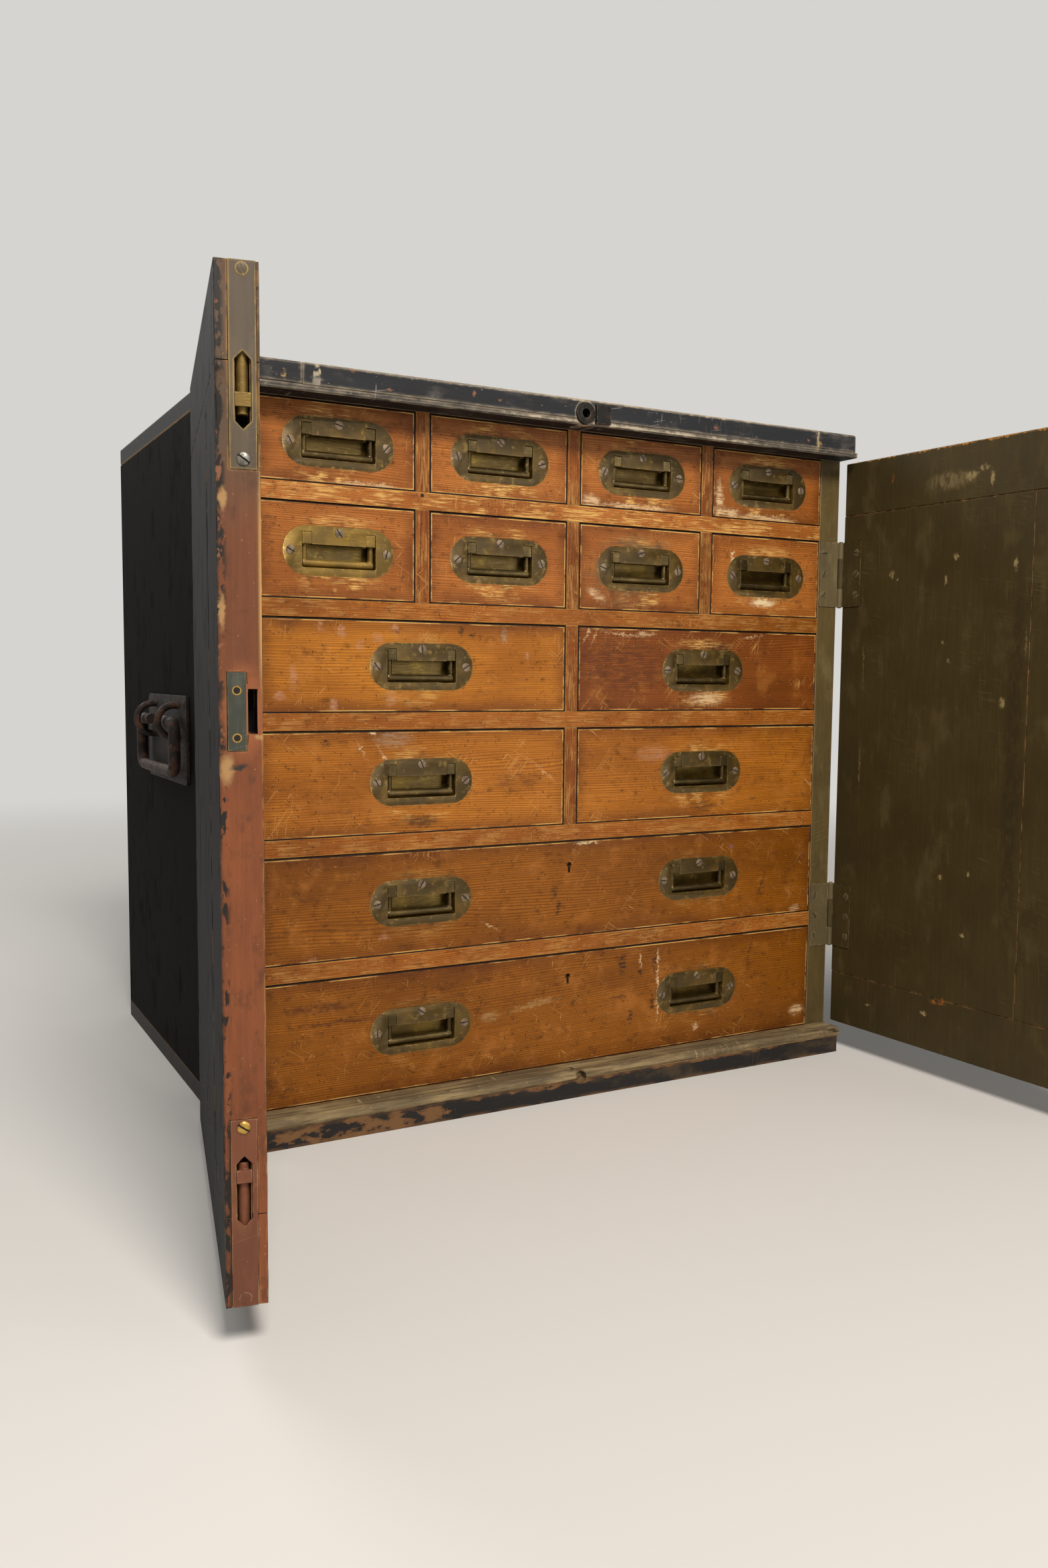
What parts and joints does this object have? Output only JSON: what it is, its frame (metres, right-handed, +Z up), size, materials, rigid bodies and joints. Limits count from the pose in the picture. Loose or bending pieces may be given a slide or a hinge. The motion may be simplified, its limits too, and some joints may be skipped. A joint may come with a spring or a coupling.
{
  "type": "collectors cabinet",
  "caption": "Table cabinet with two hinged doors over rows of small, medium and full-width drawers, let-in swing pulls, flush bolts and iron carrying handles.",
  "frame": {"origin": "middle of the case's footprint, on the surface it stands on", "axes": "+X to the right seen from the front, +Y towards the back, +Z up; the drawers and doors face -Y"},
  "size_m": [0.833, 0.8251, 0.682],
  "materials": {
    "painted_wood": "worn black paint over pine",
    "drawer_wood": "old varnished pine",
    "brass": "aged, olive patina",
    "painted_fittings": "olive paint, worn",
    "iron": "rusty forged iron"
  },
  "bodies": {
    "case": {"top_board": "painted_wood", "base_board": "painted_wood", "carcase_walls": "painted_wood", "drawer_dividers": "drawer_wood", "case_ironwork": "painted_fittings"},
    "left_door": {"left_door": "painted_wood", "left_door_fittings": "painted_fittings"},
    "right_door": {"right_door": "painted_wood", "right_door_fittings": "painted_fittings"},
    "top_bolt": {"top_bolt": "brass"},
    "foot_bolt": {"foot_bolt": "brass"},
    "door_lock_bolt": {"door_lock_bolt": "brass"},
    "left_handle": {"left_handle": "iron"},
    "right_handle": {"right_handle": "iron"},
    "drawer_1a": {"drawer_1a": "drawer_wood", "pull_plate_1a": "brass"},
    "bail_1a": {"bail_1a": "brass"},
    "drawer_1b": {"drawer_1b": "drawer_wood", "pull_plate_1b": "brass"},
    "bail_1b": {"bail_1b": "brass"},
    "drawer_1c": {"drawer_1c": "drawer_wood", "pull_plate_1c": "brass"},
    "bail_1c": {"bail_1c": "brass"},
    "drawer_1d": {"drawer_1d": "drawer_wood", "pull_plate_1d": "brass"},
    "bail_1d": {"bail_1d": "brass"},
    "drawer_2a": {"drawer_2a": "drawer_wood", "pull_plate_2a": "brass"},
    "bail_2a": {"bail_2a": "brass"},
    "drawer_2b": {"drawer_2b": "drawer_wood", "pull_plate_2b": "brass"},
    "bail_2b": {"bail_2b": "brass"},
    "drawer_2c": {"drawer_2c": "drawer_wood", "pull_plate_2c": "brass"},
    "bail_2c": {"bail_2c": "brass"},
    "drawer_2d": {"drawer_2d": "drawer_wood", "pull_plate_2d": "brass"},
    "bail_2d": {"bail_2d": "brass"},
    "drawer_3a": {"drawer_3a": "drawer_wood", "pull_plate_3a": "brass"},
    "bail_3a": {"bail_3a": "brass"},
    "drawer_3b": {"drawer_3b": "drawer_wood", "pull_plate_3b": "brass"},
    "bail_3b": {"bail_3b": "brass"},
    "drawer_4a": {"drawer_4a": "drawer_wood", "pull_plate_4a": "brass"},
    "bail_4a": {"bail_4a": "brass"},
    "drawer_4b": {"drawer_4b": "drawer_wood", "pull_plate_4b": "brass"},
    "bail_4b": {"bail_4b": "brass"},
    "drawer_5": {"drawer_5": "drawer_wood", "pull_plate_5": "brass"},
    "bail_5a": {"bail_5a": "brass"},
    "bail_5b": {"bail_5b": "brass"},
    "lock_bolt_5": {"lock_bolt_5": "brass"},
    "drawer_6": {"drawer_6": "drawer_wood", "pull_plate_6": "brass"},
    "bail_6a": {"bail_6a": "brass"},
    "bail_6b": {"bail_6b": "brass"},
    "lock_bolt_6": {"lock_bolt_6": "brass"}
  },
  "joints": [
    {"name": "left_door_hinge", "type": "hinge", "parent": "case", "child": "left_door", "pos_m": [-0.345, -0.2275, 0.5345], "axis": [0, 0, -1], "range_deg": [-101, 79]},
    {"name": "right_door_hinge", "type": "hinge", "parent": "case", "child": "right_door", "pos_m": [0.345, -0.2275, 0.5345], "axis": [0, 0, 1], "range_deg": [-94, 86]},
    {"name": "drawer_1a_slide", "type": "slide", "parent": "case", "child": "drawer_1a", "axis": [0, -1, 0], "range_m": [0, 0.33]},
    {"name": "drawer_1b_slide", "type": "slide", "parent": "case", "child": "drawer_1b", "axis": [0, -1, 0], "range_m": [0, 0.33]},
    {"name": "drawer_1c_slide", "type": "slide", "parent": "case", "child": "drawer_1c", "axis": [0, -1, 0], "range_m": [0, 0.33]},
    {"name": "drawer_1d_slide", "type": "slide", "parent": "case", "child": "drawer_1d", "axis": [0, -1, 0], "range_m": [0, 0.33]},
    {"name": "drawer_2a_slide", "type": "slide", "parent": "case", "child": "drawer_2a", "axis": [0, -1, 0], "range_m": [0, 0.33]},
    {"name": "drawer_2b_slide", "type": "slide", "parent": "case", "child": "drawer_2b", "axis": [0, -1, 0], "range_m": [0, 0.33]},
    {"name": "drawer_2c_slide", "type": "slide", "parent": "case", "child": "drawer_2c", "axis": [0, -1, 0], "range_m": [0, 0.33]},
    {"name": "drawer_2d_slide", "type": "slide", "parent": "case", "child": "drawer_2d", "axis": [0, -1, 0], "range_m": [0, 0.33]},
    {"name": "drawer_3a_slide", "type": "slide", "parent": "case", "child": "drawer_3a", "axis": [0, -1, 0], "range_m": [0, 0.33]},
    {"name": "drawer_3b_slide", "type": "slide", "parent": "case", "child": "drawer_3b", "axis": [0, -1, 0], "range_m": [0, 0.33]},
    {"name": "drawer_4a_slide", "type": "slide", "parent": "case", "child": "drawer_4a", "axis": [0, -1, 0], "range_m": [0, 0.33]},
    {"name": "drawer_4b_slide", "type": "slide", "parent": "case", "child": "drawer_4b", "axis": [0, -1, 0], "range_m": [0, 0.33]},
    {"name": "drawer_5_slide", "type": "slide", "parent": "case", "child": "drawer_5", "axis": [0, -1, 0], "range_m": [0, 0.33]},
    {"name": "drawer_6_slide", "type": "slide", "parent": "case", "child": "drawer_6", "axis": [0, -1, 0], "range_m": [0, 0.33]},
    {"name": "top_bolt_slide", "type": "slide", "parent": "left_door", "child": "top_bolt", "axis": [0, 0, 1], "range_m": [0, 0.014]},
    {"name": "foot_bolt_slide", "type": "slide", "parent": "left_door", "child": "foot_bolt", "axis": [0, 0, -1], "range_m": [0, 0.014]},
    {"name": "door_lock_bolt_slide", "type": "slide", "parent": "right_door", "child": "door_lock_bolt", "axis": [0.0698, -0.9976, 0], "range_m": [0, 0.009]},
    {"name": "lock_bolt_5_slide", "type": "slide", "parent": "drawer_5", "child": "lock_bolt_5", "axis": [0, 0, 1], "range_m": [0, 0.007]},
    {"name": "lock_bolt_6_slide", "type": "slide", "parent": "drawer_6", "child": "lock_bolt_6", "axis": [0, 0, 1], "range_m": [0, 0.007]},
    {"name": "left_handle_hinge", "type": "hinge", "parent": "case", "child": "left_handle", "pos_m": [-0.3534, 0.0135, 0.371], "axis": [0, 1, 0], "range_deg": [0, 90]},
    {"name": "right_handle_hinge", "type": "hinge", "parent": "case", "child": "right_handle", "pos_m": [0.3534, 0.0135, 0.371], "axis": [0, -1, 0], "range_deg": [0, 90]},
    {"name": "bail_1a_hinge", "type": "hinge", "parent": "drawer_1a", "child": "bail_1a", "pos_m": [-0.2415, -0.2242, 0.63685], "axis": [-1, 0, 0], "range_deg": [0, 90]},
    {"name": "bail_1b_hinge", "type": "hinge", "parent": "drawer_1b", "child": "bail_1b", "pos_m": [-0.0805, -0.2242, 0.63685], "axis": [-1, 0, 0], "range_deg": [0, 90]},
    {"name": "bail_1c_hinge", "type": "hinge", "parent": "drawer_1c", "child": "bail_1c", "pos_m": [0.0805, -0.2242, 0.63685], "axis": [-1, 0, 0], "range_deg": [0, 90]},
    {"name": "bail_1d_hinge", "type": "hinge", "parent": "drawer_1d", "child": "bail_1d", "pos_m": [0.2415, -0.2242, 0.63685], "axis": [-1, 0, 0], "range_deg": [0, 90]},
    {"name": "bail_2a_hinge", "type": "hinge", "parent": "drawer_2a", "child": "bail_2a", "pos_m": [-0.2415, -0.2242, 0.54235], "axis": [-1, 0, 0], "range_deg": [0, 90]},
    {"name": "bail_2b_hinge", "type": "hinge", "parent": "drawer_2b", "child": "bail_2b", "pos_m": [-0.0805, -0.2242, 0.54235], "axis": [-1, 0, 0], "range_deg": [0, 90]},
    {"name": "bail_2c_hinge", "type": "hinge", "parent": "drawer_2c", "child": "bail_2c", "pos_m": [0.0805, -0.2242, 0.54235], "axis": [-1, 0, 0], "range_deg": [0, 90]},
    {"name": "bail_2d_hinge", "type": "hinge", "parent": "drawer_2d", "child": "bail_2d", "pos_m": [0.2415, -0.2242, 0.54235], "axis": [-1, 0, 0], "range_deg": [0, 90]},
    {"name": "bail_3a_hinge", "type": "hinge", "parent": "drawer_3a", "child": "bail_3a", "pos_m": [-0.161, -0.2242, 0.44135], "axis": [-1, 0, 0], "range_deg": [0, 90]},
    {"name": "bail_3b_hinge", "type": "hinge", "parent": "drawer_3b", "child": "bail_3b", "pos_m": [0.161, -0.2242, 0.44135], "axis": [-1, 0, 0], "range_deg": [0, 90]},
    {"name": "bail_4a_hinge", "type": "hinge", "parent": "drawer_4a", "child": "bail_4a", "pos_m": [-0.161, -0.2242, 0.33435], "axis": [-1, 0, 0], "range_deg": [0, 90]},
    {"name": "bail_4b_hinge", "type": "hinge", "parent": "drawer_4b", "child": "bail_4b", "pos_m": [0.161, -0.2242, 0.33435], "axis": [-1, 0, 0], "range_deg": [0, 90]},
    {"name": "bail_5a_hinge", "type": "hinge", "parent": "drawer_5", "child": "bail_5a", "pos_m": [-0.161, -0.2242, 0.22085], "axis": [-1, 0, 0], "range_deg": [0, 90]},
    {"name": "bail_5b_hinge", "type": "hinge", "parent": "drawer_5", "child": "bail_5b", "pos_m": [0.161, -0.2242, 0.22085], "axis": [-1, 0, 0], "range_deg": [0, 90]},
    {"name": "bail_6a_hinge", "type": "hinge", "parent": "drawer_6", "child": "bail_6a", "pos_m": [-0.161, -0.2242, 0.09835], "axis": [-1, 0, 0], "range_deg": [0, 90]},
    {"name": "bail_6b_hinge", "type": "hinge", "parent": "drawer_6", "child": "bail_6b", "pos_m": [0.161, -0.2242, 0.09835], "axis": [-1, 0, 0], "range_deg": [0, 90]}
  ]
}
